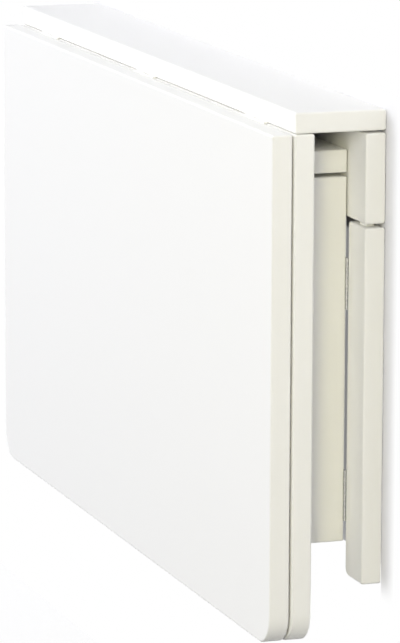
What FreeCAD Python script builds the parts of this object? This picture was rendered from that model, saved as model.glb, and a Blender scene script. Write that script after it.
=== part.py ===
"""Wall mounted drop leaf table: a narrow shelf on a wall frame, a double leaf that swings up
level with it, and two swing-out gates that carry the leaf.

Millimetres. The wall is the plane Y = 0 and the room is on the -Y side. X runs along the wall,
with X = 0 at the middle of the table. Z = 0 is the row of wall holes in the top rail.
"""

import FreeCAD, Part
import os
from collections import namedtuple

# ---------------------------------------------------------------- driving dimensions
TABLE_WIDTH = 900.0        # along the wall
BOARD = 20.0               # thickness of the boards and of most battens
SHELF_DEPTH = 90.0
LEAF_DROP = 490.0          # shelf underside to the bottom of the hanging leaf
LEAF_CORNER = 30.0         # radius of the leaf's two free corners
RAIL_HEIGHT = 86.0
RAIL_REVEAL = 2.3          # shadow line between shelf and rail
MEMBER_GAP = 3.7           # shadow gap between upright and cross members
STILE_LENGTH = 343.0
STILE_CORNER = 8.0         # inner bottom corner of each wall stile
EASE = 1.4                 # flat on the eased edges of every board and batten

LEAF_JOINT = 0.5           # open joint between shelf and leaf
LEAF_PIN_SETBACK = 1.3     # leaf pin, out from the shelf's front and down from its underside
LEAF_SPACING = 2.1         # gap between the leaf's two boards
LEAF_HINGE_LENGTH = 60.0
LEAF_HINGE_INSET = 110.0   # table end to the middle of the outer hinges
LEAF_PLATE = 1.2
LEAF_PLATE_REACH = 25.0
LEAF_BARREL = 2.0          # outer radius
LEAF_PIN = 1.0             # radius

STRIP_WIDTH = 40.0         # strips between the leaf's two boards
STRIP_INSETS = (45.0, 280.0)       # table end to the middle of each strip
STRIP_MARGIN = 30.0        # strip ends to the leaf's top and bottom

GATE_SPLIT = 26.4          # between the free ends of the two folded gates
GATE_RISE = 32.3           # stile bottom to gate bottom
GATE_CLEARANCE = 4.3       # folded gate to the hanging leaf
GATE_PIN_SETBACK = 0.6     # gate pin to the faces of the gate and of the stile
ARM_THICKNESS = 22.0
GATE_HINGE_LENGTH = 50.0
GATE_HINGE_DROP = 60.0     # stile top to the middle of the upper hinge
GATE_HINGE_RISE = 45.0     # gate bottom to the middle of the lower hinge
GATE_PLATE = 0.8
GATE_PLATE_REACH = 17.0
GATE_BARREL = 1.4
GATE_PIN = 0.75

KNUCKLES = 3
KNUCKLE_GAP = 0.3
RUNNING = 0.05             # radial clearance of a pin in its knuckles
NOTCH = 0.3                # clearance of wood and plate around a hinge barrel
PLATE_STANDOFF = 0.3       # a plate's root beyond the plane through its pin

TENON_THICKNESS = 8.0
TENON_LENGTH = 12.0        # into the member that holds it
TENON_SHOULDER = 8.0       # each side of a gate tenon
WALL_TENON_WIDTH = 16.0    # tenon that joins a wall stile to the rail
TENON_PLAY = 0.1

PAD_THICKNESS = 1.2
PAD_RADIUS = 11.0
PAD_CLEARANCE = 0.3        # pad to the raised leaf
PAD_INSET = 40.0           # gate's free end to the middle of its pad

BRACKETS = 4
BRACKET_STEEL = 2.0
BRACKET_WIDTH = 32.0
BRACKET_LEG = 20.0
BRACKET_INSET = 190.0      # table end to the middle of the outer brackets

RAIL_HOLES = 4
RAIL_HOLE = 2.75           # radius
RAIL_HOLE_HEAD = 5.5       # radius of its countersink
RAIL_HOLE_INSET = 120.0    # table end to the outer rail holes
HANGER_HOLE = 4.0          # radius of the blind holes in the backs of the stiles
HANGER_DEPTH = 14.0
HANGER_INSET = 32.0        # stile end to its hanger holes

# ---------------------------------------------------------------- planes worked out from them
HALF = TABLE_WIDTH / 2
RAIL_FRONT = -BOARD
SHELF_FRONT = -SHELF_DEPTH
SHELF_UNDER = RAIL_HEIGHT / 2 + RAIL_REVEAL
LEAF_PIN_Y = SHELF_FRONT - LEAF_PIN_SETBACK
LEAF_PIN_Z = SHELF_UNDER - LEAF_PIN_SETBACK
LEAF_TOP = SHELF_UNDER - LEAF_JOINT
LEAF_BOTTOM = SHELF_UNDER - LEAF_DROP
OUTER_BACK = LEAF_PIN_Y - LEAF_PIN_SETBACK      # back face of the outer leaf board
INNER_FRONT = OUTER_BACK + LEAF_SPACING
INNER_BACK = INNER_FRONT + BOARD
RAISED_UNDER = LEAF_PIN_Z - (INNER_BACK - LEAF_PIN_Y)

GATE_PIN_Y = RAIL_FRONT - GATE_PIN_SETBACK
GATE_BACK = GATE_PIN_Y - GATE_PIN_SETBACK
GATE_FRONT = INNER_BACK + GATE_CLEARANCE
GATE_MIDDLE = (GATE_BACK + GATE_FRONT) / 2
STILE_WIDTH = GATE_BACK - GATE_FRONT            # an open gate hides its stile
STILE_INNER = HALF - STILE_WIDTH
STILE_TOP = -RAIL_HEIGHT / 2 - MEMBER_GAP
STILE_BOTTOM = STILE_TOP - STILE_LENGTH
GATE_PIN_X = STILE_INNER - GATE_PIN_SETBACK
GATE_END = GATE_PIN_X - GATE_PIN_SETBACK
GATE_TIP = GATE_SPLIT / 2
ARM_TOP = RAISED_UNDER - PAD_CLEARANCE - PAD_THICKNESS
ARM_UNDER = ARM_TOP - ARM_THICKNESS
FRAME_TOP = ARM_UNDER - MEMBER_GAP
FRAME_BOTTOM = STILE_BOTTOM + GATE_RISE

X, Y, Z = FreeCAD.Vector(1, 0, 0), FreeCAD.Vector(0, 1, 0), FreeCAD.Vector(0, 0, 1)
HingeParts = namedtuple("HingeParts", "fixed moving pin")


def point(x, y, z):
    return FreeCAD.Vector(x, y, z)


def block(x, y, z):
    """A sharp box from three (low, high) pairs."""
    return Part.makeBox(x[1] - x[0], y[1] - y[0], z[1] - z[0], point(x[0], y[0], z[0]))


def board(x, y, z):
    """A board or batten with every edge eased."""
    solid = block(x, y, z)
    return solid.makeChamfer(EASE, solid.Edges)


def cross_batten(x, y, z):
    """A batten along X with square ends, which butt against the uprights."""
    solid = block(x, y, z)
    long_edges = [e for e in solid.Edges if abs(e.Length - (x[1] - x[0])) < 1e-6]
    return solid.makeChamfer(EASE, long_edges)


def cut_all(solid, tools):
    return solid.cut(Part.makeCompound(tools))


def mirrored(shape):
    """The same piece at the other end of the table."""
    return shape.mirror(point(0, 0, 0), X)


def spread(count, inset):
    """X of evenly spaced places, the outer two `inset` from the table's ends."""
    outer = HALF - inset
    return [-outer + 2 * outer * n / (count - 1) for n in range(count)]


def save(name, shapes):
    """Write one node: a single solid, or a group of identical ones."""
    shape = shapes[0] if len(shapes) == 1 else Part.makeCompound(shapes)
    shape.exportStep(f"parts/{name}.step")
    print(name, len(shape.Solids), "solid(s),", round(shape.Volume), "mm3,", shape.isValid())


# ---------------------------------------------------------------- butt hinges
def knuckle_spans(length, first):
    """Every second knuckle along the barrel, from knuckle number `first`."""
    pitch = length / KNUCKLES
    return [
        (n * pitch + KNUCKLE_GAP / 2, (n + 1) * pitch - KNUCKLE_GAP / 2)
        for n in range(first, KNUCKLES, 2)
    ]


def barrel_run(start, along, span, radius):
    low, high = span
    return Part.makeCylinder(radius, high - low, start + along * low, along)


def hinge_plate(plate, start, along, length, first, barrel, bore):
    """A plate with its own knuckles, notched square for the knuckles of the other plate."""
    room = barrel + NOTCH
    side = point(room, room, room) - along * room
    notches = []
    for low, high in knuckle_spans(length, 1 - first):
        near = start - side + along * (low - KNUCKLE_GAP)
        far = start + side + along * (high + KNUCKLE_GAP)
        notches.append(block((near.x, far.x), (near.y, far.y), (near.z, far.z)))
    shape = cut_all(plate, notches)
    for span in knuckle_spans(length, first):
        shape = shape.fuse(barrel_run(start, along, span, barrel))
    return shape.cut(barrel_run(start, along, (0, length), bore)).removeSplitter()


def leaf_hinge_places():
    return spread(3, LEAF_HINGE_INSET)


def leaf_hinge(middle):
    """The shelf plate is let into the shelf's underside, the leaf plate lies between the boards."""
    low, high = middle - LEAF_HINGE_LENGTH / 2, middle + LEAF_HINGE_LENGTH / 2
    start = point(low, LEAF_PIN_Y, LEAF_PIN_Z)
    shelf_plate = block(
        (low, high),
        (SHELF_FRONT - PLATE_STANDOFF, LEAF_PIN_Y + LEAF_PLATE_REACH),
        (SHELF_UNDER, SHELF_UNDER + LEAF_PLATE),
    )
    leaf_plate = block(
        (low, high),
        (OUTER_BACK, OUTER_BACK + LEAF_PLATE),
        (LEAF_PIN_Z - LEAF_PLATE_REACH, LEAF_PIN_Z),
    )
    common = (start, X, LEAF_HINGE_LENGTH)
    bore = LEAF_PIN + RUNNING
    return HingeParts(
        hinge_plate(shelf_plate, *common, 0, LEAF_BARREL, bore),
        hinge_plate(leaf_plate, *common, 1, LEAF_BARREL, bore),
        barrel_run(start, X, (0, LEAF_HINGE_LENGTH), LEAF_PIN),
    )


def leaf_hinge_notches():
    """Room in the wood round each leaf hinge's barrel."""
    notches = []
    for middle in leaf_hinge_places():
        start = point(middle - LEAF_HINGE_LENGTH / 2, LEAF_PIN_Y, LEAF_PIN_Z)
        span = (-NOTCH, LEAF_HINGE_LENGTH + NOTCH)
        notches.append(barrel_run(start, X, span, LEAF_BARREL + NOTCH))
    return notches


def gate_hinge_places():
    return [STILE_TOP - GATE_HINGE_DROP, FRAME_BOTTOM + GATE_HINGE_RISE]


def gate_hinge_notches():
    """Room in the right-hand stile and gate round each gate hinge's barrel."""
    length = GATE_HINGE_LENGTH
    return [
        barrel_run(point(GATE_PIN_X, GATE_PIN_Y, middle - length / 2), Z,
                   (-NOTCH, length + NOTCH), GATE_BARREL + NOTCH)
        for middle in gate_hinge_places()
    ]


def gate_hinge(middle):
    """One plate on the stile's inner side, one on the back of the folded gate."""
    low, high = middle - GATE_HINGE_LENGTH / 2, middle + GATE_HINGE_LENGTH / 2
    start = point(GATE_PIN_X, GATE_PIN_Y, low)
    wall_plate = block(
        (STILE_INNER - GATE_PLATE, STILE_INNER),
        (GATE_PIN_Y + PLATE_STANDOFF, GATE_PIN_Y + GATE_PLATE_REACH),
        (low, high),
    )
    gate_plate = block(
        (GATE_PIN_X - GATE_PLATE_REACH, GATE_PIN_X - PLATE_STANDOFF),
        (GATE_BACK, GATE_BACK + GATE_PLATE),
        (low, high),
    )
    common = (start, Z, GATE_HINGE_LENGTH)
    bore = GATE_PIN + RUNNING
    return HingeParts(
        hinge_plate(wall_plate, *common, 0, GATE_BARREL, bore),
        hinge_plate(gate_plate, *common, 1, GATE_BARREL, bore),
        barrel_run(start, Z, (0, GATE_HINGE_LENGTH), GATE_PIN),
    )


# ---------------------------------------------------------------- wall frame and shelf
def rail_hole(x):
    """A countersunk hole through the rail for a wall screw, driven from the room side."""
    mouth = point(x, RAIL_FRONT, 0)
    shank = Part.makeCylinder(RAIL_HOLE, BOARD, mouth, Y)
    sink = Part.makeCone(RAIL_HOLE_HEAD, RAIL_HOLE, RAIL_HOLE_HEAD - RAIL_HOLE, mouth, Y)
    return shank.fuse(sink)


def shelf_bracket(middle):
    """A bent steel angle in the corner under the shelf."""
    half = BRACKET_WIDTH / 2
    x = (middle - half, middle + half)
    reach, corner = RAIL_FRONT - BRACKET_LEG, RAIL_FRONT - BRACKET_STEEL
    foot, inner_top = SHELF_UNDER - BRACKET_LEG, SHELF_UNDER - BRACKET_STEEL
    angle = block(x, (reach, RAIL_FRONT), (foot, SHELF_UNDER))
    angle = angle.cut(block(x, (reach, corner), (foot, inner_top)))
    bend = [e for e in angle.Edges if abs(e.CenterOfMass.y - corner) < 1e-6
            and abs(e.CenterOfMass.z - inner_top) < 1e-6]
    return angle.makeFillet(BRACKET_STEEL, bend)


def shelf_board():
    shelf = board((-HALF, HALF), (SHELF_FRONT, 0), (SHELF_UNDER, SHELF_UNDER + BOARD))
    recesses = []
    half = LEAF_HINGE_LENGTH / 2 + RUNNING
    for middle in leaf_hinge_places():
        recesses.append(block(
            (middle - half, middle + half),
            (SHELF_FRONT - EASE, LEAF_PIN_Y + LEAF_PLATE_REACH + RUNNING),
            (SHELF_UNDER - EASE, SHELF_UNDER + LEAF_PLATE),
        ))
    return cut_all(shelf, leaf_hinge_notches() + recesses)


def wall_tenon(play=0.0):
    """A stub tenon from the right-hand stile's top, through the shadow gap into the rail."""
    middle = HALF - STILE_WIDTH / 2
    across = WALL_TENON_WIDTH / 2 + play
    half = TENON_THICKNESS / 2 + play
    return block(
        (middle - across, middle + across),
        (RAIL_FRONT / 2 - half, RAIL_FRONT / 2 + half),
        (STILE_TOP, -RAIL_HEIGHT / 2 + TENON_LENGTH + play),
    )


def wall_rail():
    rail = board((-HALF, HALF), (RAIL_FRONT, 0), (-RAIL_HEIGHT / 2, RAIL_HEIGHT / 2))
    mortise = wall_tenon(TENON_PLAY)
    drilled = [rail_hole(x) for x in spread(RAIL_HOLES, RAIL_HOLE_INSET)]
    return cut_all(rail, drilled + [mortise, mirrored(mortise)])


def wall_stile():
    """The upright at the right-hand end, its inner bottom corner rounded."""
    stile = block((STILE_INNER, HALF), (RAIL_FRONT, 0), (STILE_BOTTOM, STILE_TOP))
    corner = [e for e in stile.Edges if abs(e.CenterOfMass.x - STILE_INNER) < 1e-6
              and abs(e.CenterOfMass.z - STILE_BOTTOM) < 1e-6]
    stile = stile.makeFillet(STILE_CORNER, corner)
    stile = stile.makeChamfer(EASE, stile.Edges)
    middle = HALF - STILE_WIDTH / 2
    hangers = [
        Part.makeCylinder(HANGER_HOLE, HANGER_DEPTH, point(middle, 0, z), -Y)
        for z in (STILE_TOP - HANGER_INSET, STILE_BOTTOM + HANGER_INSET)
    ]
    return cut_all(stile.fuse(wall_tenon()), hangers + gate_hinge_notches())


# ---------------------------------------------------------------- the leaf
def leaf_board(front):
    """A leaf board with two rounded free corners, its front face at Y = front."""
    leaf = block((-HALF, HALF), (front, front + BOARD), (LEAF_BOTTOM, LEAF_TOP))
    corners = [e for e in leaf.Edges if abs(abs(e.CenterOfMass.x) - HALF) < 1e-6
               and abs(e.CenterOfMass.z - LEAF_BOTTOM) < 1e-6]
    leaf = leaf.makeFillet(LEAF_CORNER, corners)
    leaf = leaf.makeChamfer(EASE, leaf.Edges)
    return cut_all(leaf, leaf_hinge_notches())


def leaf_strips():
    """Flat strips that hold the two boards one gap apart."""
    half = STRIP_WIDTH / 2
    return [
        block(
            (side * (HALF - inset) - half, side * (HALF - inset) + half),
            (OUTER_BACK, INNER_FRONT),
            (LEAF_BOTTOM + STRIP_MARGIN, LEAF_TOP - STRIP_MARGIN),
        )
        for side in (-1, 1) for inset in STRIP_INSETS
    ]


# ---------------------------------------------------------------- the gates
def tenon_width(play):
    half = STILE_WIDTH / 2 - TENON_SHOULDER + play
    return GATE_MIDDLE - half, GATE_MIDDLE + half


def rail_tenon(joint, out, z, play=0.0):
    """A stub tenon that leaves a cross batten at X = joint in the direction `out`."""
    reach = sorted((joint, joint + out * (TENON_LENGTH + play)))
    half = TENON_THICKNESS / 2 + play
    return block(reach, tenon_width(play), (z - half, z + half))


def stile_tenon(x, play=0.0):
    """A stub tenon on an upright, through the shadow gap into the arm."""
    half = TENON_THICKNESS / 2 + play
    top = ARM_UNDER + TENON_LENGTH + play
    return block((x - half, x + half), tenon_width(play), (FRAME_TOP, top))


def gate_members():
    """The arm and the four battens of the right-hand gate, folded against the wall."""
    depth = (GATE_FRONT, GATE_BACK)
    height = (FRAME_BOTTOM, FRAME_TOP)
    tip_side, hinge_side = GATE_TIP + BOARD, GATE_END - BOARD
    rails = {"top_rail": FRAME_TOP - BOARD / 2, "bottom_rail": FRAME_BOTTOM + BOARD / 2}
    stiles = {"hinge_stile": (hinge_side, GATE_END), "free_stile": (GATE_TIP, tip_side)}
    mortises = [
        rail_tenon(joint, out, z, TENON_PLAY)
        for joint, out in ((tip_side, -1), (hinge_side, 1)) for z in rails.values()
    ]
    arm = board((GATE_TIP, GATE_END), depth, (ARM_UNDER, ARM_TOP))
    sockets = [stile_tenon(sum(span) / 2, TENON_PLAY) for span in stiles.values()]
    members = {"arm": cut_all(arm, sockets)}
    for name, span in stiles.items():
        stile = board(span, depth, height).fuse(stile_tenon(sum(span) / 2))
        members[name] = cut_all(stile, mortises + gate_hinge_notches())
    for name, z in rails.items():
        rail = cross_batten((tip_side, hinge_side), depth, (z - BOARD / 2, z + BOARD / 2))
        rail = rail.fuse(rail_tenon(tip_side, -1, z))
        members[name] = rail.fuse(rail_tenon(hinge_side, 1, z))
    return members


def gate_pad():
    """A felt disc on the arm, near its free end, where the raised leaf comes to rest."""
    place = point(GATE_TIP + PAD_INSET, GATE_MIDDLE, ARM_TOP)
    return Part.makeCylinder(PAD_RADIUS, PAD_THICKNESS, place, Z)


def save_gate(side, place):
    """All the nodes of one gate; `place` moves a right-hand piece to its own end."""
    for name, member in gate_members().items():
        save(f"{side}_gate_{name}", [place(member)])
    save(f"{side}_gate_felt_pad", [place(gate_pad())])
    for label, z in zip(("upper", "lower"), gate_hinge_places()):
        parts = gate_hinge(z)
        save(f"{side}_gate_{label}_hinge_wall_plate", [place(parts.fixed)])
        save(f"{side}_gate_{label}_hinge_gate_plate", [place(parts.moving)])
        save(f"{side}_gate_{label}_hinge_pin", [place(parts.pin)])


def save_leaf():
    save("leaf_outer_board", [leaf_board(OUTER_BACK - BOARD)])
    save("leaf_inner_board", [leaf_board(INNER_FRONT)])
    save("leaf_spacer_strips", leaf_strips())
    for label, middle in zip(("left", "middle", "right"), leaf_hinge_places()):
        parts = leaf_hinge(middle)
        save(f"leaf_hinge_{label}_shelf_plate", [parts.fixed])
        save(f"leaf_hinge_{label}_leaf_plate", [parts.moving])
        save(f"leaf_hinge_{label}_pin", [parts.pin])


def save_wall_frame():
    save("shelf_board", [shelf_board()])
    save("wall_rail", [wall_rail()])
    stile = wall_stile()
    save("right_wall_stile", [stile])
    save("left_wall_stile", [mirrored(stile)])
    for number, middle in enumerate(spread(BRACKETS, BRACKET_INSET), start=1):
        save(f"shelf_bracket_{number}", [shelf_bracket(middle)])


os.makedirs("parts", exist_ok=True)
save_wall_frame()
save_leaf()
save_gate("right", lambda shape: shape)
save_gate("left", mirrored)
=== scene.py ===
"""Looks of a wall mounted drop leaf table: lacquered boards, steel hinges and a plain studio.

Every length is in metres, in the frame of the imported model: the wall is the plane Y = 0, the room
is on the -Y side, X runs along the wall and Z is up.
"""

import logging
import math
from collections.abc import Callable, Iterable, Iterator, Sequence
from contextlib import contextmanager
from dataclasses import dataclass, field
from enum import Enum

import bmesh
import bpy
from mathutils import Matrix, Vector


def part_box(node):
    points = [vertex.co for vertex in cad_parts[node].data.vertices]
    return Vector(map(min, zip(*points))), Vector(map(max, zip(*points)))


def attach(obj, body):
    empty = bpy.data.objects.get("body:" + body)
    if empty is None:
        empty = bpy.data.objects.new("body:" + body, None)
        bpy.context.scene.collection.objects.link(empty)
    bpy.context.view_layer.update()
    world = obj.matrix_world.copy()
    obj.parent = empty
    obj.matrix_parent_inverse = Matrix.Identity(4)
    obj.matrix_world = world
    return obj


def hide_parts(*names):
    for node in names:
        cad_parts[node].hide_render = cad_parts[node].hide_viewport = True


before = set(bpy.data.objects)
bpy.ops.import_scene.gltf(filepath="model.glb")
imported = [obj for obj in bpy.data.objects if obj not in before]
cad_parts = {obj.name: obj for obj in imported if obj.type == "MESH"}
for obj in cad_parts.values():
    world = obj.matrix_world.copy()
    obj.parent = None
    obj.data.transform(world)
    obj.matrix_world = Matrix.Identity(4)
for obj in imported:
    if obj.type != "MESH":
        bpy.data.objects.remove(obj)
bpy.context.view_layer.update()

LOG = logging.getLogger("drop_leaf_table")
MM = 0.001
WHITE = (1.0, 1.0, 1.0, 1.0)

# Faces that meet at more than this make a sharp edge, and an edge whose direction has at least this
# cosine with an axis runs along it.
SHARP_ANGLE = math.radians(60)
ALONG = 0.999

# Between the rail and a stile, and between a gate's arm and the frame under it.
MEMBER_GAP = 3.7 * MM

# How far a cutter stands out of the face that it cuts.
OVERSHOOT = 1.0 * MM

# The room round a leaf hinge's barrel: its radius, and how far it runs past each end.
LEAF_HINGES = ("left", "middle", "right")
BARREL_ROOM = 2.3 * MM
BARREL_PLAY = 0.3 * MM

Colour = tuple[float, float, float]


class Axis(Enum):
    """The frame's directions."""

    X = Vector((1, 0, 0))
    Y = Vector((0, 1, 0))
    Z = Vector((0, 0, 1))


class Side(Enum):
    """The two ends of the table, each with the sign of its X."""

    RIGHT = 1
    LEFT = -1

    @property
    def word(self) -> str:
        """The side's name as the nodes spell it."""
        return self.name.lower()


# ------------------------------------------------------------------------------ shader nodes
class Value:
    """A result in a shader: a socket whose sums and products add Math nodes."""

    def __init__(self, shader: "Shader", socket: bpy.types.NodeSocket | None) -> None:
        """Keep the socket and the shader that its maths is added to."""
        self.shader = shader
        self.socket = socket

    def _math(self, operation: str, *inputs: "Value | float") -> "Value":
        """Add a Math node.

        Args:
            operation: the Math node's operation.
            inputs: its operands, as values or plain numbers.

        Returns:
            The node's result.
        """
        links = {n: value for n, value in enumerate(inputs)}
        return self.shader.add("ShaderNodeMath", {"operation": operation}, links)

    def __add__(self, other: "Value | float") -> "Value":
        """self + other."""
        return self._math("ADD", self, other)

    __radd__ = __add__

    def __mul__(self, other: "Value | float") -> "Value":
        """self * other."""
        return self._math("MULTIPLY", self, other)

    __rmul__ = __mul__

    def __sub__(self, other: "Value | float") -> "Value":
        """self - other."""
        return self._math("SUBTRACT", self, other)

    def __rsub__(self, other: "Value | float") -> "Value":
        """other - self."""
        return self._math("SUBTRACT", other, self)

    def above(self, limit: float) -> "Value":
        """1 where the value is over the limit, else 0."""
        return self._math("GREATER_THAN", self, limit)

    def at_least(self, other: "Value | float") -> "Value":
        """The larger of the two."""
        return self._math("MAXIMUM", self, other)

    def rise(self, low: float, high: float) -> "Value":
        """A smooth step.

        Args:
            low: the value up to which it is 0.
            high: the value from which it is 1.

        Returns:
            The step.
        """
        settings = {"interpolation_type": "SMOOTHSTEP"}
        inputs = {"Value": self, "From Min": low, "From Max": high}
        return self.shader.add("ShaderNodeMapRange", settings, inputs)


class Shader:
    """A node tree under construction, of a material or of the world."""

    def __init__(self, tree: bpy.types.NodeTree) -> None:
        """Start from an empty tree."""
        self.tree = tree
        self.tree.nodes.clear()

    def add(
        self,
        kind: str,
        settings: dict[str, object] | None = None,
        inputs: dict[str | int, object] | None = None,
        output: str | int = 0,
    ) -> Value:
        """Add one node.

        Args:
            kind: the node's type.
            settings: its own settings, set before its inputs.
            inputs: a value, colour or Value for each named or numbered input socket.
            output: the output socket that the result stands for.

        Returns:
            That output, wrapped.
        """
        node = self.tree.nodes.new(kind)
        for name, value in (settings or {}).items():
            setattr(node, name, value)
        for key, value in (inputs or {}).items():
            if isinstance(value, Value):
                self.tree.links.new(value.socket, node.inputs[key])
            else:
                node.inputs[key].default_value = value
        return Value(self, node.outputs[output] if node.outputs else None)

    def ray(self, output: str) -> Value:
        """What the Light Path node says of a ray."""
        return self.add("ShaderNodeLightPath", output=output)

    def seen(self) -> Value:
        """1 for rays from the camera, from gloss and through glass, else 0."""
        direct = self.ray("Is Camera Ray").at_least(self.ray("Is Glossy Ray"))
        return direct.at_least(self.ray("Is Transmission Ray"))

    def noise(
        self, scale: float, detail: float = 2.0, stretch: Sequence[float] = (1, 1, 1)
    ) -> Value:
        """Add a noise pattern, about 0.5 in the mean.

        Args:
            scale: how many features it has in a metre.
            detail: how many finer layers lie on the first.
            stretch: a further scale for each axis.

        Returns:
            The pattern.
        """
        inputs = {"Vector": self.place(stretch), "Scale": scale, "Detail": detail}
        return self.add("ShaderNodeTexNoise", inputs=inputs, output="Fac")

    def place(self, stretch: Sequence[float] = (1, 1, 1)) -> Value:
        """Object coordinates, scaled along each axis."""
        coordinates = self.add("ShaderNodeTexCoord", output="Object")
        return self.add("ShaderNodeMapping", inputs={"Vector": coordinates, "Scale": stretch})

    def blend(self, factor: Value, low: Colour, high: Colour) -> Value:
        """Mix two colours.

        Args:
            factor: the share of the second.
            low: the colour where it is 0.
            high: the colour where it is 1.

        Returns:
            The mixed colour.
        """
        inputs = {0: factor, 6: (*low, 1.0), 7: (*high, 1.0)}
        return self.add("ShaderNodeMix", {"data_type": "RGBA"}, inputs, output=2)

    def mix(self, factor: Value | float, first: Value, second: Value) -> Value:
        """Mix two surfaces by the share of the second."""
        return self.add("ShaderNodeMixShader", inputs={0: factor, 1: first, 2: second})

    def bump(self, height: Value, depth: float) -> Value:
        """A normal from a height pattern, `depth` metres from its lowest to its highest."""
        return self.add("ShaderNodeBump", inputs={"Height": height, "Distance": depth})

    def surface(self, inputs: dict[str | int, object]) -> Value:
        """The Principled surface."""
        return self.add("ShaderNodeBsdfPrincipled", inputs=inputs)

    def paint(self, colour: Sequence[float]) -> Value:
        """A plain matt surface."""
        return self.add("ShaderNodeBsdfDiffuse", inputs={"Color": colour})

    def glow(self) -> Value:
        """A surface that is seen as plain white."""
        return self.add("ShaderNodeEmission", inputs={"Strength": 1.0})

    def clear(self) -> Value:
        """A surface that lets everything through."""
        return self.add("ShaderNodeBsdfTransparent")

    def output(self, shader: Value, kind: str = "ShaderNodeOutputMaterial") -> None:
        """Send a shader to the tree's output."""
        self.add(kind, inputs={"Surface": shader})


# ------------------------------------------------------------------------------ finishes
@dataclass(frozen=True)
class Finish:
    """A material, made once and shared by the pieces of its slot.

    Attributes:
        slot: the name of its material slot; it is not used.
        name: the material's name.
    """

    slot: str
    name: str

    def build(self, shader: Shader) -> None:
        """Fill the material's node tree."""
        raise NotImplementedError

    def material(self) -> bpy.types.Material:
        """Build the material the first time it is asked for.

        Returns:
            The finished material.
        """
        made = bpy.data.materials.get(self.name)
        if made is None:
            made = bpy.data.materials.new(self.name)
            made.use_nodes = True
            self.build(Shader(made.node_tree))
        return made

    def dress(self, piece: bpy.types.Object) -> None:
        """Give a piece this finish all over.

        Args:
            piece: the piece.
        """
        piece.data.materials.clear()
        piece.data.materials.append(self.material())
        for polygon in piece.data.polygons:
            polygon.material_index = 0

    def dress_node(self, node: str) -> None:
        """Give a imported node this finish, on its object's own slots.

        Args:
            node: the node's name.
        """
        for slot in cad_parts[node].material_slots:
            slot.link = "OBJECT"
            slot.material = self.material()


@dataclass(frozen=True)
class Lacquer(Finish):
    """Sprayed satin lacquer on board: faint cloudiness, orange peel and rubbed patches.

    Attributes:
        pale: the colour where the coat is fullest.
        deep: the colour where it is thinnest.
        roughness: the lowest roughness.
        rubbing: how much the most rubbed patch adds to it.
        peel_depth: depth of the orange peel.
    """

    slot: str = "white_lacquer"
    name: str = "white_lacquer"
    pale: Colour = (0.920, 0.908, 0.818)
    deep: Colour = (0.898, 0.885, 0.790)
    roughness: float = 0.30
    rubbing: float = 0.16
    peel_depth: float = 0.03 * MM

    def build(self, shader: Shader) -> None:
        """Fill the material's node tree."""
        cloud = shader.noise(scale=7.0, detail=3.0)
        rubbed = shader.noise(scale=26.0, detail=4.0, stretch=(1.0, 1.0, 0.4))
        peel = shader.noise(scale=620.0, detail=1.0)
        fibre = shader.noise(scale=2600.0, detail=2.0)
        shader.output(shader.surface({
            "Base Color": shader.blend(cloud, self.deep, self.pale),
            "Roughness": rubbed * self.rubbing + self.roughness,
            "Normal": shader.bump(peel * 0.8 + fibre * 0.2, self.peel_depth),
            "Specular IOR Level": 0.45,
        }))


@dataclass(frozen=True)
class Enamel(Finish):
    """White stoved enamel on hinge steel, a little thin and rubbed in places.

    Attributes:
        full: the colour where the coat is fullest.
        thin: the colour where it is thinnest.
        roughness: the lowest roughness.
        rubbing: how much the most rubbed patch adds to it.
        peel_depth: depth of the orange peel.
    """

    slot: str = "white_enamel"
    name: str = "white_enamel"
    full: Colour = (0.79, 0.78, 0.72)
    thin: Colour = (0.69, 0.685, 0.64)
    roughness: float = 0.2
    rubbing: float = 0.2
    peel_depth: float = 0.03 * MM

    def build(self, shader: Shader) -> None:
        """Fill the material's node tree."""
        rubbed = shader.noise(scale=140.0, detail=5.0)
        peel = shader.noise(scale=900.0, detail=2.0)
        shader.output(shader.surface({
            "Base Color": shader.blend(rubbed, self.thin, self.full),
            "Roughness": rubbed * self.rubbing + self.roughness,
            "Normal": shader.bump(peel, self.peel_depth),
            "Specular IOR Level": 0.5,
        }))


@dataclass(frozen=True)
class ZincSteel(Finish):
    """Bright zinc plate with a fine crystal mottle.

    Attributes:
        bright: the colour between the crystals' middles.
        dull: the colour at their middles.
        roughness: the lowest roughness.
        haze: how much the haziest patch adds to it.
        grain: how many crystals lie side by side in a metre.
        grain_depth: depth of their relief.
    """

    slot: str = "zinc_steel"
    name: str = "zinc_plate"
    bright: Colour = (0.60, 0.60, 0.59)
    dull: Colour = (0.40, 0.41, 0.42)
    roughness: float = 0.28
    haze: float = 0.22
    grain: float = 380.0
    grain_depth: float = 0.02 * MM

    def build(self, shader: Shader) -> None:
        """Fill the material's node tree."""
        inputs = {"Vector": shader.place(), "Scale": self.grain}
        crystal = shader.add("ShaderNodeTexVoronoi", inputs=inputs, output="Distance")
        haze = shader.noise(scale=60.0, detail=4.0)
        shader.output(shader.surface({
            "Base Color": shader.blend(crystal, self.dull, self.bright),
            "Metallic": 0.95,
            "Roughness": haze * self.haze + self.roughness,
            "Normal": shader.bump(crystal, self.grain_depth),
        }))


@dataclass(frozen=True)
class Felt(Finish):
    """Pale pressed felt with short tangled fibres.

    Attributes:
        pale: the colour of the fibres that stand up.
        deep: the colour between them.
        nap_depth: depth of the nap.
    """

    slot: str = "felt"
    name: str = "pressed_felt"
    pale: Colour = (0.80, 0.78, 0.73)
    deep: Colour = (0.52, 0.50, 0.46)
    nap_depth: float = 0.2 * MM

    def build(self, shader: Shader) -> None:
        """Fill the material's node tree."""
        fibre = shader.noise(scale=2400.0, detail=6.0)
        tuft = shader.noise(scale=500.0, detail=3.0)
        shader.output(shader.surface({
            "Base Color": shader.blend(fibre, self.deep, self.pale),
            "Roughness": 0.95,
            "Normal": shader.bump(fibre * 0.7 + tuft * 0.3, self.nap_depth),
            "Sheen Weight": 0.4,
            "Specular IOR Level": 0.2,
        }))


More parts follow.
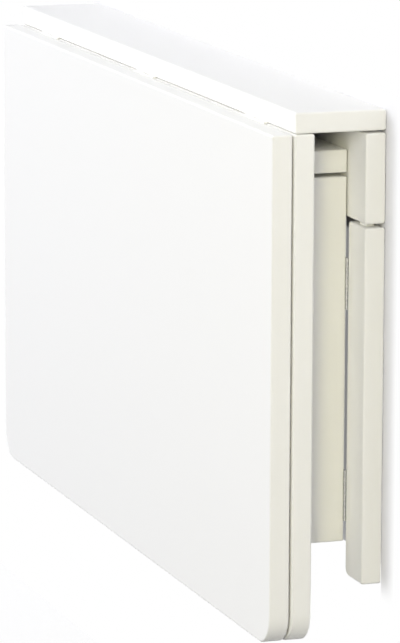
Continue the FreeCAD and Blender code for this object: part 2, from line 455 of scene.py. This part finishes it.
LACQUER = Lacquer()
ENAMEL = Enamel()
ZINC = ZincSteel()
FELT = Felt()


# ------------------------------------------------------------------------------ the bench
class Bench:
    """Modelling steps shared by the sub-assemblies, each made of Blender's own operators."""

    @staticmethod
    def deselect() -> None:
        """Leave nothing selected."""
        bpy.ops.object.select_all(action="DESELECT")

    @classmethod
    def take(cls, piece: bpy.types.Object) -> None:
        """Make a piece the only one selected, and active.

        Args:
            piece: the piece.
        """
        cls.deselect()
        piece.select_set(True)
        bpy.context.view_layer.objects.active = piece

    @classmethod
    def settle(cls, name: str) -> bpy.types.Object:
        """Name the primitive just added, and move its place and size into its mesh.

        Args:
            name: its name.

        Returns:
            The primitive's object.
        """
        piece = bpy.context.active_object
        piece.name = name
        piece.data.name = name
        bpy.ops.object.transform_apply(location=True, rotation=True, scale=True)
        return piece

    @classmethod
    def block(cls, name: str, low: Vector, high: Vector) -> bpy.types.Object:
        """Add a block.

        Args:
            name: the object's name.
            low: its lowest corner.
            high: its highest corner.

        Returns:
            The new object.
        """
        cls.deselect()
        middle = (low + high) / 2
        bpy.ops.mesh.primitive_cube_add(size=1.0, location=middle, scale=high - low)
        return cls.settle(name)

    @classmethod
    def rod(
        cls, name: str, start: Vector, along: Vector, length: float, radius: float,
        tip: float | None = None, sides: int = 32,
    ) -> bpy.types.Object:
        """Add a round rod or cone.

        Args:
            name: the object's name.
            start: the middle of its first end.
            along: its unit direction.
            length: its length.
            radius: the radius at its first end.
            tip: the radius at its far end, the same if left out.
            sides: how many sides stand for the circle.

        Returns:
            The new object.
        """
        cls.deselect()
        turn = Axis.Z.value.rotation_difference(along).to_euler()
        bpy.ops.mesh.primitive_cone_add(
            vertices=sides,
            radius1=radius,
            radius2=radius if tip is None else tip,
            depth=length,
            location=start + along * (length / 2),
            rotation=turn,
        )
        return cls.settle(name)

    @classmethod
    @contextmanager
    def editing(cls, piece: bpy.types.Object) -> Iterator[bmesh.types.BMesh]:
        """Enter edit mode with nothing selected, and leave it afterwards.

        Args:
            piece: the piece to edit.

        Yields:
            Its mesh, open for editing.
        """
        cls.take(piece)
        bpy.ops.object.mode_set(mode="EDIT")
        bpy.ops.mesh.select_all(action="DESELECT")
        yield bmesh.from_edit_mesh(piece.data)
        bpy.ops.object.mode_set(mode="OBJECT")

    @classmethod
    def round_edges(
        cls, piece: bpy.types.Object, radius: float, flats: int,
        which: Callable[[bmesh.types.BMEdge], bool],
    ) -> None:
        """Round the chosen edges.

        Args:
            piece: the piece.
            radius: the radius of the rounding.
            flats: how many flats make it.
            which: tells whether an edge is rounded.
        """
        with cls.editing(piece) as mesh:
            bpy.ops.mesh.select_mode(type="EDGE")
            for edge in mesh.edges:
                edge.select_set(which(edge))
            bmesh.update_edit_mesh(piece.data)
            bpy.ops.mesh.bevel(
                offset=radius, offset_type="OFFSET", segments=flats, affect="EDGES"
            )

    @classmethod
    def cut(cls, piece: bpy.types.Object, tools: Iterable[bpy.types.Object]) -> None:
        """Cut each tool out of the piece, and remove the tools."""
        cls._combine(piece, tools, "DIFFERENCE")

    @classmethod
    def weld(cls, piece: bpy.types.Object, parts: Iterable[bpy.types.Object]) -> None:
        """Make each part one with the piece, and remove the parts."""
        cls._combine(piece, parts, "UNION")

    @classmethod
    def _combine(
        cls, piece: bpy.types.Object, others: Iterable[bpy.types.Object], operation: str
    ) -> None:
        """Apply one Boolean modifier for each of the others, and remove them.

        Args:
            piece: the piece that is changed.
            others: the objects that change it.
            operation: the modifier's operation.
        """
        for other in others:
            cls.take(piece)
            modifier = piece.modifiers.new(operation.lower(), "BOOLEAN")
            modifier.operation = operation
            modifier.solver = "EXACT"
            modifier.object = other
            bpy.ops.object.modifier_apply(modifier=modifier.name)
            bpy.data.objects.remove(other, do_unlink=True)

    @classmethod
    def smooth(cls, piece: bpy.types.Object, angle: float = 35.0) -> None:
        """Shade the roundings smooth and keep the broad faces flat.

        Args:
            piece: the piece.
            angle: the angle in degrees from which an edge stays sharp.
        """
        cls.take(piece)
        bpy.ops.object.shade_smooth_by_angle(angle=math.radians(angle))
        modifier = piece.modifiers.new("broad_faces", "WEIGHTED_NORMAL")
        modifier.keep_sharp = True
        modifier.weight = 100
        bpy.ops.object.modifier_apply(modifier=modifier.name)

    @classmethod
    def copies(
        cls, pattern: bpy.types.Object, name: str, places: Iterable[Matrix]
    ) -> bpy.types.Object:
        """Join copies of a pattern into one piece, and remove the pattern.

        Args:
            pattern: the object that is copied, at the origin.
            name: the piece's name.
            places: where each copy goes.

        Returns:
            The piece.
        """
        made = []
        for place in places:
            copy = bpy.data.objects.new(name, pattern.data.copy())
            bpy.context.scene.collection.objects.link(copy)
            copy.data.transform(place)
            made.append(copy)
        cls.deselect()
        for copy in made:
            copy.select_set(True)
        bpy.context.view_layer.objects.active = made[0]
        bpy.ops.object.join()
        bpy.data.objects.remove(pattern, do_unlink=True)
        made[0].name = name
        return made[0]


def hand_over(
    piece: bpy.types.Object, finish: Finish, body: str, nodes: Sequence[str] = ()
) -> None:
    """Dress a finished piece and tie it to the frame.

    Args:
        piece: the piece.
        finish: its finish.
        body: the body that it moves with.
        nodes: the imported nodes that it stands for.
    """
    finish.dress(piece)
    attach(piece, body)
    if nodes:
        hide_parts(*nodes)
    LOG.info("%s: %d faces, on %s", piece.name, len(piece.data.polygons), body)


def box_of(node: str) -> tuple[Vector, Vector]:
    """A node's lowest and highest corner."""
    low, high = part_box(node)
    return Vector(low), Vector(high)


def middle_of(node: str) -> Vector:
    """The middle of a node's box."""
    low, high = box_of(node)
    return (low + high) / 2


def near(first: float, second: float) -> bool:
    """Whether two coordinates are less than a millimetre apart."""
    return abs(first - second) < MM


def is_sharp(edge: bmesh.types.BMEdge) -> bool:
    """Whether the faces of an edge meet at a sharp angle."""
    return edge.calc_face_angle(0.0) > SHARP_ANGLE


def runs_along(edge: bmesh.types.BMEdge, axis: Axis) -> bool:
    """Whether an edge lies along an axis."""
    first, second = (vertex.co for vertex in edge.verts)
    return abs((second - first).normalized().dot(axis.value)) > ALONG


def edge_middle(edge: bmesh.types.BMEdge) -> Vector:
    """The middle of an edge."""
    first, second = (vertex.co for vertex in edge.verts)
    return (first + second) / 2


def barrel_tools() -> list[bpy.types.Object]:
    """Model cutters for the room round the leaf hinges' barrels.

    Returns:
        A rod for each hinge.
    """
    tools = []
    for place in LEAF_HINGES:
        low, high = box_of(f"leaf_hinge_{place}_pin")
        centre = (low + high) / 2
        start = Vector((low.x - BARREL_PLAY, centre.y, centre.z))
        length = high.x - low.x + 2 * BARREL_PLAY
        tools.append(Bench.rod("barrel", start, Axis.X.value, length, BARREL_ROOM))
    return tools


# ------------------------------------------------------------------------------ screws
class HeadForm(Enum):
    """The two kinds of screw head."""

    COUNTERSUNK = "countersunk"
    PAN = "pan"


@dataclass(frozen=True)
class ScrewHead:
    """The visible head of a small cross-recess wood screw.

    Attributes:
        form: the kind of head.
        radius: its outer radius.
        proud: how far it stands above the face that it sits on.
        soft: radius of its rim's rounding.
        flats: how many flats make that rounding.
        cross_width: width of the cross recess.
        cross_reach: the recess's reach from the middle, as a share of the radius.
        cross_floor: height of its floor, as a share of how far the head stands proud.
        turn: angle in degrees that each screw is turned past the one before.
    """

    form: HeadForm
    radius: float = 2.9 * MM
    proud: float = 0.15 * MM
    soft: float = 0.12 * MM
    flats: int = 2
    cross_width: float = 0.9 * MM
    cross_reach: float = 0.62
    cross_floor: float = 0.25
    turn: float = 37.0

    def pattern(self) -> bpy.types.Object:
        """Model one head at the origin, facing +Z.

        Returns:
            The head.
        """
        name = f"{self.form.value}_head"
        head = Bench.rod(name, Vector((0, 0, 0)), Axis.Z.value, self.proud, self.radius, sides=24)
        Bench.round_edges(
            head, self.soft, self.flats,
            lambda edge: is_sharp(edge) and edge_middle(edge).z > self.proud / 2,
        )
        reach, half = self.radius * self.cross_reach, self.cross_width / 2
        low, high = self.proud * self.cross_floor, self.proud * 2
        arms = [
            Bench.block("arm", Vector((-x, -y, low)), Vector((x, y, high)))
            for x, y in ((reach, half), (half, reach))
        ]
        Bench.cut(head, arms)
        Bench.smooth(head)
        return head

    def row(self, name: str, seats: Iterable[tuple[Vector, Vector]]) -> bpy.types.Object:
        """Model a group of heads.

        Args:
            name: the group's name.
            seats: the point and outward direction of each head.

        Returns:
            One piece with a head on every seat.
        """
        places = []
        for number, (seat, outward) in enumerate(seats):
            turn = Axis.Z.value.rotation_difference(outward).to_matrix().to_4x4()
            spin = Matrix.Rotation(math.radians(self.turn * number), 4, "Z")
            places.append(Matrix.Translation(seat) @ turn @ spin)
        return Bench.copies(self.pattern(), name, places)


# ------------------------------------------------------------------------------ wall frame
@dataclass
class WallFrame:
    """The shelf, the rail under it and the two stiles.

    Attributes:
        ease: radius of the eased edges.
        ease_flats: how many flats make an eased edge.
        corner: radius of each stile's inner bottom corner.
        corner_flats: how many flats make that corner.
        seat_play: room round a shelf plate in its seat.
        hole: radius of the rail's wall holes.
        hole_length: length of their cutters.
        hole_head: radius of their countersinks.
        sink_point: radius at the point of a countersink's cutter.
        hole_x: X of the outer and the inner wall holes.
        tenon_half: half the stile tenon's width and thickness.
        tenon_root: how deep the tenon starts inside the stile.
        hanger: radius of the blind holes in the backs of the stiles.
        hanger_depth: their depth.
        hanger_inset: stile end to a blind hole.
        body: the body that it all belongs to.
    """

    ease: float = 2.2 * MM
    ease_flats: int = 4
    corner: float = 8.0 * MM
    corner_flats: int = 6
    seat_play: float = 0.05 * MM
    hole: float = 2.75 * MM
    hole_length: float = 30.0 * MM
    hole_head: float = 5.5 * MM
    sink_point: float = 0.1 * MM
    hole_x: tuple[float, float] = (330.0 * MM, 110.0 * MM)
    tenon_half: tuple[float, float] = (8.0 * MM, 4.0 * MM)
    tenon_root: float = 5.0 * MM
    hanger: float = 4.0 * MM
    hanger_depth: float = 14.0 * MM
    hanger_inset: float = 32.0 * MM
    body: str = "wall_frame"

    def build(self) -> None:
        """Make every board of the wall frame."""
        self._shelf()
        self._rail()
        for side in Side:
            self._stile(side)

    def _shelf(self) -> None:
        """Make the shelf, with seats for the three shelf plates and room for the barrels."""
        shelf = Bench.block("shelf", *box_of("shelf_board"))
        Bench.round_edges(shelf, self.ease, self.ease_flats, is_sharp)
        Bench.cut(shelf, barrel_tools() + self._plate_seats())
        Bench.smooth(shelf)
        hand_over(shelf, LACQUER, self.body, ["shelf_board"])

    def _plate_seats(self) -> list[bpy.types.Object]:
        """Model cutters for the shelf plates' seats.

        Returns:
            A block for each seat.
        """
        under = box_of("shelf_board")[0].z
        play = Vector((self.seat_play, self.seat_play, 0.0))
        tools = []
        for place in LEAF_HINGES:
            low, high = box_of(f"leaf_hinge_{place}_shelf_plate")
            low.z = under - 2 * OVERSHOOT
            tools.append(Bench.block("seat", low - play, high + play))
        return tools

    def _rail(self) -> None:
        """Make the rail with its four countersunk wall holes."""
        low, high = box_of("wall_rail")
        rail = Bench.block("rail", low, high)
        Bench.round_edges(rail, self.ease, self.ease_flats, is_sharp)
        into = Axis.Y.value
        sink = self.hole_head + OVERSHOOT
        tools = []
        for x in self.hole_x:
            for sign in (-1, 1):
                mouth = Vector((sign * x, low.y - OVERSHOOT, 0.0))
                tools.append(Bench.rod("sink", mouth, into, sink, sink, tip=self.sink_point))
                tools.append(Bench.rod("hole", mouth, into, self.hole_length, self.hole))
        Bench.cut(rail, tools)
        Bench.smooth(rail)
        hand_over(rail, LACQUER, self.body, ["wall_rail"])

    def _stile(self, side: Side) -> None:
        """Make one stile, with its tenon and blind holes.

        Args:
            side: the end that it stands at.
        """
        node = f"{side.word}_wall_stile"
        low, high = box_of(node)
        rail_under = box_of("wall_rail")[0].z
        shoulder = rail_under - MEMBER_GAP
        top = Vector((high.x, high.y, shoulder))
        stile = Bench.block(f"{side.word}_stile", low, top)
        inner = low.x if side is Side.RIGHT else high.x
        Bench.round_edges(
            stile, self.corner, self.corner_flats,
            lambda edge: runs_along(edge, Axis.Y)
            and near(edge_middle(edge).x, inner)
            and near(edge_middle(edge).z, low.z),
        )
        Bench.round_edges(stile, self.ease, self.ease_flats, is_sharp)
        centre = (low + top) / 2
        half = Vector((*self.tenon_half, 0.0))
        root = Vector((centre.x, centre.y, shoulder - self.tenon_root))
        end = Vector((centre.x, centre.y, rail_under))
        Bench.weld(stile, [Bench.block("tenon", root - half, end + half)])
        hangers = [
            Bench.rod(
                "hanger", Vector((centre.x, OVERSHOOT, z)), -Axis.Y.value,
                self.hanger_depth + OVERSHOOT, self.hanger,
            )
            for z in (shoulder - self.hanger_inset, low.z + self.hanger_inset)
        ]
        Bench.cut(stile, hangers)
        Bench.smooth(stile)
        hand_over(stile, LACQUER, self.body, [node])


# ------------------------------------------------------------------------------ leaf
@dataclass
class Leaf:
    """The double leaf that hangs from the shelf.

    Attributes:
        ease: radius of the eased edges.
        ease_flats: how many flats make an eased edge.
        corner: radius of the two free corners.
        corner_flats: how many flats make a free corner.
        body: the body that it all belongs to.
    """

    ease: float = 2.2 * MM
    ease_flats: int = 4
    corner: float = 30.0 * MM
    corner_flats: int = 12
    body: str = "leaf"

    def build(self) -> None:
        """Make both boards, and dress the strips between them."""
        for name in ("outer", "inner"):
            node = f"leaf_{name}_board"
            low, high = box_of(node)
            board = Bench.block(f"{name}_leaf", low, high)
            Bench.round_edges(
                board, self.corner, self.corner_flats,
                lambda edge: runs_along(edge, Axis.Y) and near(edge_middle(edge).z, low.z),
            )
            Bench.round_edges(board, self.ease, self.ease_flats, is_sharp)
            Bench.cut(board, barrel_tools())
            Bench.smooth(board)
            hand_over(board, LACQUER, self.body, [node])
        LACQUER.dress_node("leaf_spacer_strips")


# ------------------------------------------------------------------------------ gates
@dataclass
class Gate:
    """One swing-out gate: an arm over a frame of four battens, with a felt pad on the arm.

    Attributes:
        side: the end of the table that it stands at.
        ease: radius of the eased edges.
        ease_flats: how many flats make an eased edge.
        tenon: length of the tenon at each end of a frame rail, which the stiles hide.
        rim: radius of the felt pad's soft rim.
        rim_flats: how many flats make that rim.
        body: the body that it belongs to.
    """

    side: Side
    ease: float = 1.8 * MM
    ease_flats: int = 3
    tenon: float = 12.0 * MM
    rim: float = 0.5 * MM
    rim_flats: int = 4
    body: str = "wall_frame"

    def build(self) -> None:
        """Make the battens and the pad.

        The stub tenons that tie the stiles to the arm, across the gap under it, aren't made.
        """
        frame_under = box_of(f"{self.side.word}_gate_bottom_rail")[0].z
        frame_top = box_of(f"{self.side.word}_gate_arm")[0].z - MEMBER_GAP
        for name in ("arm", "hinge_stile", "free_stile", "top_rail", "bottom_rail"):
            node = f"{self.side.word}_gate_{name}"
            low, high = box_of(node)
            across = name.endswith("rail")
            if across:
                low.x += self.tenon
                high.x -= self.tenon
            if name.endswith("stile"):
                low.z = frame_under
                high.z = frame_top
            batten = Bench.block(f"{self.side.word}_{name}", low, high)
            Bench.round_edges(
                batten, self.ease, self.ease_flats,
                lambda edge: is_sharp(edge) and (not across or runs_along(edge, Axis.X)),
            )
            Bench.smooth(batten)
            hand_over(batten, LACQUER, self.body, [node])
        self._pad()

    def _pad(self) -> None:
        """Make a felt disc with a soft rim."""
        node = f"{self.side.word}_gate_felt_pad"
        name = f"{self.side.word}_felt_pad"
        low, high = box_of(node)
        middle = (low + high) / 2
        start = Vector((middle.x, middle.y, low.z))
        thick, radius = high.z - low.z, (high.x - low.x) / 2
        pad = Bench.rod(name, start, Axis.Z.value, thick, radius, sides=64)
        Bench.round_edges(
            pad, self.rim, self.rim_flats,
            lambda edge: is_sharp(edge) and edge_middle(edge).z > middle.z,
        )
        Bench.smooth(pad)
        hand_over(pad, FELT, self.body, [node])


# ------------------------------------------------------------------------------ ironmongery
@dataclass
class Ironmongery:
    """Hinges, brackets and the heads of the screws that hold them.

    Attributes:
        leaf_reach: leaf pin to the row of screws in a shelf plate.
        leaf_pitch: spacing of those screws.
        gate_reach: gate pin to the row of screws in each plate.
        gate_pitch: spacing of those screws.
        gate_plate: thickness of those plates.
        brackets: how many brackets there are.
        bracket_reach: back face or top face of a bracket to the screw in its other leg.
        bracket_steel: thickness of a bracket.
        body: the body that it belongs to.
        flat: the screw in the hinges.
        pan: the screw in the brackets.
    """

    leaf_reach: float = 15.0 * MM
    leaf_pitch: float = 20.0 * MM
    gate_reach: float = 10.0 * MM
    gate_pitch: float = 25.0 * MM
    gate_plate: float = 0.8 * MM
    brackets: int = 4
    bracket_reach: float = 12.0 * MM
    bracket_steel: float = 2.0 * MM
    body: str = "wall_frame"
    flat: ScrewHead = field(default_factory=lambda: ScrewHead(HeadForm.COUNTERSUNK))
    pan: ScrewHead = field(default_factory=lambda: ScrewHead(
        HeadForm.PAN, radius=3.4 * MM, proud=1.6 * MM, soft=1.1 * MM, flats=5
    ))

    def build(self) -> None:
        """Dress the steel and add the screw heads."""
        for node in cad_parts:
            if node.startswith("leaf_hinge"):
                ENAMEL.dress_node(node)
            elif node.startswith("shelf_bracket") or node.endswith(("_plate", "_pin")):
                ZINC.dress_node(node)
        self._leaf_screws()
        for side in Side:
            self._gate_screws(side)
        self._bracket_screws()

    def _leaf_screws(self) -> None:
        """Add the screws that go up through the shelf plates."""
        seats = []
        under = box_of("shelf_board")[0].z
        for place in LEAF_HINGES:
            pin = middle_of(f"leaf_hinge_{place}_pin")
            for step in (-1, 0, 1):
                seat = Vector((pin.x + step * self.leaf_pitch, pin.y + self.leaf_reach, under))
                seats.append((seat, -Axis.Z.value))
        heads = self.flat.row("leaf_hinge_screw_heads", seats)
        hand_over(heads, ENAMEL, self.body)

    def _gate_screws(self, side: Side) -> None:
        """Add the screws in the plates of one gate's hinges.

        Args:
            side: the end that the gate stands at.
        """
        inward = -side.value * Axis.X.value
        gate_face = box_of(f"{side.word}_gate_hinge_stile")[1].y + self.gate_plate
        seats = []
        for label in ("upper", "lower"):
            hinge = f"{side.word}_gate_{label}_hinge"
            low, high = box_of(f"{hinge}_wall_plate")
            pin = middle_of(f"{hinge}_pin")
            # The box takes in the barrel, so this is the plate's back face and not its front:
            # the heads here lie within the plate.
            wall_face = (high.x if side is Side.RIGHT else low.x) - side.value * self.gate_plate
            for step in (-0.5, 0.5):
                z = pin.z + step * self.gate_pitch
                seats.append((Vector((wall_face, pin.y + self.gate_reach, z)), inward))
                gate_x = pin.x - side.value * self.gate_reach
                seats.append((Vector((gate_x, gate_face, z)), Axis.Y.value))
        heads = self.flat.row(f"{side.word}_gate_hinge_screw_heads", seats)
        hand_over(heads, ZINC, self.body)

    def _bracket_screws(self) -> None:
        """Add a pan head on each leg of every bracket."""
        reach, steel = self.bracket_reach, self.bracket_steel
        seats = []
        for number in range(1, self.brackets + 1):
            low, high = box_of(f"shelf_bracket_{number}")
            x = (low.x + high.x) / 2
            seats.append((Vector((x, high.y - reach, high.z - steel)), -Axis.Z.value))
            seats.append((Vector((x, high.y - steel, high.z - reach)), -Axis.Y.value))
        heads = self.pan.row("shelf_bracket_screw_heads", seats)
        hand_over(heads, ZINC, self.body)


# ------------------------------------------------------------------------------ studio
@dataclass(frozen=True)
class Softbox:
    """A square area lamp.

    Attributes:
        name: its name.
        place: where it hangs.
        aim: the point that it faces.
        size: the length of its side.
        power: its power in watts.
        colour: its colour.
    """

    name: str
    place: tuple[float, float, float]
    aim: tuple[float, float, float]
    size: float
    power: float
    colour: Colour

    def hang(self) -> None:
        """Add the lamp."""
        lamp = bpy.data.lights.new(self.name, "AREA")
        lamp.size = self.size
        lamp.energy = self.power
        lamp.color = self.colour
        holder = bpy.data.objects.new(self.name, lamp)
        holder.location = self.place
        look = Vector(self.aim) - Vector(self.place)
        holder.rotation_euler = look.to_track_quat("-Z", "Y").to_euler()
        bpy.context.scene.collection.objects.link(holder)


@dataclass
class Studio:
    """The camera, the lamps, the pale wall and the floor.

    Attributes:
        camera_place: where the camera stands.
        yaw: angle of its line of sight from -X towards +Y, in degrees.
        pitch: angle downwards, in degrees.
        roll: turn about the line of sight, in degrees.
        lens: focal length in millimetres.
        sensor: the sensor's length in millimetres, on the picture's long side.
        clip: nearest and farthest distance that the camera sees.
        ambient: strength of the light that comes from all round.
        floor: height of the floor.
        floor_size: length of its side.
        floor_paint: its colour as seen.
        floor_glow: share of the seen floor that is plain white.
        floor_bounce: its colour in the light that it throws back.
        wall_gap: distance of the wall behind the table.
        wall_size: its width and height.
        wall_middle: Z of its middle.
        wall_and_painted_shade: its colour inside the painted shade, darker and bluish there to
            deepen the shadow, and in the light that it throws back.
        wall_touch: reach within which it lets lamp light through to what stands against it.
        behind: distance from the middle at which the painted shade behind the table begins.
        behind_low: Z from which it is.
        behind_share: how full that painted shade is below slot_low; the rest there is plain white.
        slot_low: Z from which it is full.
        beside: distance from the middle at which the painted shade past the table's ends begins.
        shade_end: distance up to which that shade is full.
        shade_height: lowest and highest Z of the full shade.
        shade_fade: width over which it fades.
        lamps: the lamps.
    """

    camera_place: tuple[float, float, float] = (4.21211, -1.44738, 0.62624)
    yaw: float = 18.582
    pitch: float = 10.728
    roll: float = 0.205
    lens: float = 244.11
    sensor: float = 36.0
    clip: tuple[float, float] = (0.1, 50.0)
    ambient: float = 0.08
    floor: float = -0.68
    floor_size: float = 12.0
    floor_paint: tuple[float, float, float, float] = (0.95, 0.95, 0.95, 1.0)
    floor_glow: float = 0.85
    floor_bounce: tuple[float, float, float, float] = (0.15, 0.15, 0.15, 1.0)
    wall_gap: float = 0.8 * MM
    wall_size: tuple[float, float] = (9.0, 3.2)
    wall_middle: float = 0.9
    # Painted shade: a darker, bluish wall colour that shows inside the painted shade and deepens
    # it.
    wall_and_painted_shade: tuple[float, float, float, float] = (0.86, 0.86, 0.90, 1.0)
    wall_touch: float = 130.0 * MM
    behind: float = 0.347
    behind_low: float = -0.371
    behind_share: float = 0.78
    slot_low: float = -0.062
    beside: float = 0.4475
    shade_end: float = 0.4515
    shade_height: tuple[float, float] = (-0.375, 0.050)
    shade_fade: float = 0.032
    lamps: tuple[Softbox, ...] = (
        Softbox("front", (-1.6, -3.2, 0.9), (0, 0, -0.1), 2.4, 104.0, (0.925, 0.935, 1.0)),
        Softbox("side", (2.6, -2.6, 0.9), (0.2, -0.05, -0.1), 1.4, 33.5, (0.89, 0.905, 1.0)),
        Softbox("near", (3.7, -1.9, 0.7), (0.45, -0.06, -0.1), 0.9, 52.0, (1.0, 0.95, 0.66)),
        Softbox("above", (0.3, -0.9, 2.8), (0, 0, 0), 2.2, 21.0, (0.96, 0.98, 1.0)),
        Softbox("back", (-1.2, 3.2, -0.2), (0, 0, -0.2), 0.9, 90.0, (1.0, 1.0, 1.0)),
    )

    def build(self) -> None:
        """Set up the studio."""
        scene = bpy.context.scene
        scene.view_settings.view_transform = "Standard"
        self._camera(scene)
        self._world(scene)
        for lamp in self.lamps:
            lamp.hang()
        self._wall()
        self._floor()

    def _camera(self, scene: bpy.types.Scene) -> None:
        """Place the camera.

        Args:
            scene: the scene that it is for.
        """
        yaw, pitch, roll = (math.radians(v) for v in (self.yaw, self.pitch, self.roll))
        ahead = Vector((
            -math.cos(yaw) * math.cos(pitch), math.sin(yaw) * math.cos(pitch), -math.sin(pitch)
        ))
        level = ahead.cross(Axis.Z.value).normalized()
        upright = level.cross(ahead)
        right = math.cos(roll) * level + math.sin(roll) * upright
        up = math.cos(roll) * upright - math.sin(roll) * level
        camera = bpy.data.cameras.new("camera")
        camera.lens = self.lens
        camera.sensor_width = self.sensor
        camera.clip_start, camera.clip_end = self.clip
        holder = bpy.data.objects.new("camera", camera)
        turn = Matrix((right, up, -ahead)).transposed().to_4x4()
        holder.matrix_world = Matrix.Translation(self.camera_place) @ turn
        scene.collection.objects.link(holder)
        scene.camera = holder

    def _world(self, scene: bpy.types.Scene) -> None:
        """Make even light from all round, and white where it is seen.

        Args:
            scene: the scene that it is for.
        """
        world = bpy.data.worlds.new("studio")
        world.use_nodes = True
        scene.world = world
        shader = Shader(world.node_tree)
        light, white = (
            shader.add("ShaderNodeBackground", inputs={"Color": WHITE, "Strength": strength})
            for strength in (self.ambient, 1.0)
        )
        shader.output(shader.mix(shader.seen(), light, white), "ShaderNodeOutputWorld")

    def _wall(self) -> None:
        """Make the wall, which stands to the room side only and is white but for a painted shade.

        Lamps light what stands against the wall from behind too, so that the table's back isn't
        dark, but that light goes no further: it lights a face that is seen and isn't thrown on.
        """
        Bench.deselect()
        place = (0, self.wall_gap, self.wall_middle)
        bpy.ops.mesh.primitive_plane_add(
            size=1.0, location=place, rotation=(math.radians(90), 0, 0)
        )
        bpy.context.active_object.scale = (*self.wall_size, 1.0)
        wall = Bench.settle("wall")
        material, shader = self._blank("wall_and_painted_shade")
        # Painted shade: in a zone placed by position the wall drops its plain white and shows its
        # own diffuse shading.
        plain = shader.seen() * (1.0 - self._painted_shade(shader))
        # The diffuse colour here is the painted shade's darker, bluish tone.
        face = shader.mix(plain, shader.paint(self.wall_and_painted_shade), shader.glow())
        front = 1.0 - shader.add("ShaderNodeNewGeometry", output="Backfacing")
        far = shader.ray("Ray Length").above(self.wall_touch)
        not_to_lamp = 1.0 - shader.ray("Is Shadow Ray")
        thrown_on = shader.ray("Diffuse Depth").above(0.5)
        solid = far.at_least(not_to_lamp).at_least(thrown_on)
        shader.output(shader.mix(front * solid, shader.clear(), face))
        wall.data.materials.append(material)

    def _painted_shade(self, shader: Shader) -> Value:
        """Work out where the wall shows a painted shade, placed by position rather than cast by the
        table.

        Args:
            shader: the wall's shader.

        Returns:
            1 in the painted shade, fading to 0 round it.
        """
        place = shader.add("ShaderNodeTexCoord", output="Object")
        across = shader.add("ShaderNodeSeparateXYZ", inputs={0: place}, output="X")
        height = shader.add("ShaderNodeSeparateXYZ", inputs={0: place}, output="Z")
        out = across.at_least(0.0 - across)
        low, high = self.shade_height
        # Painted shade behind the table: full above slot_low, with a share of plain white left
        # below it.
        ends = out.rise(self.behind - self.shade_fade, self.behind)
        share = height.above(self.slot_low) * (1.0 - self.behind_share) + self.behind_share
        # For gloss rays the painted shade spans the whole width behind the table, so steel reflects
        # a dark wall there.
        behind = shader.ray("Is Glossy Ray").at_least(ends) * height.above(self.behind_low) * share
        # Painted shadow past the table's ends, down to the stiles' feet.
        beside = out.above(self.beside) * height.rise(low - self.shade_fade, low)
        sides = 1.0 - out.rise(self.shade_end, self.shade_end + self.shade_fade)
        return behind.at_least(beside) * sides * (1.0 - height.rise(high, high + self.shade_fade))

    def _floor(self) -> None:
        """Make the floor, which looks pale, throws little light up and is clear from below."""
        Bench.deselect()
        bpy.ops.mesh.primitive_plane_add(size=self.floor_size, location=(0, 0, self.floor))
        floor = Bench.settle("floor")
        material, shader = self._blank("floor_paint")
        pale = shader.mix(self.floor_glow, shader.paint(self.floor_paint), shader.glow())
        face = shader.mix(shader.seen(), shader.paint(self.floor_bounce), pale)
        below = shader.add("ShaderNodeNewGeometry", output="Backfacing")
        shader.output(shader.mix(below, face, shader.clear()))
        floor.data.materials.append(material)

    @staticmethod
    def _blank(name: str) -> tuple[bpy.types.Material, Shader]:
        """Start a material for the studio.

        Args:
            name: its name.

        Returns:
            The material, and its empty node tree.
        """
        material = bpy.data.materials.new(name)
        material.use_nodes = True
        return material, Shader(material.node_tree)


def main() -> None:
    """Build the table and its studio."""
    logging.basicConfig(level=logging.INFO, format="%(name)s: %(message)s")
    WallFrame().build()
    Leaf().build()
    for side in Side:
        Gate(side).build()
    Ironmongery().build()
    Studio().build()


if __name__ == "__main__":
    main()
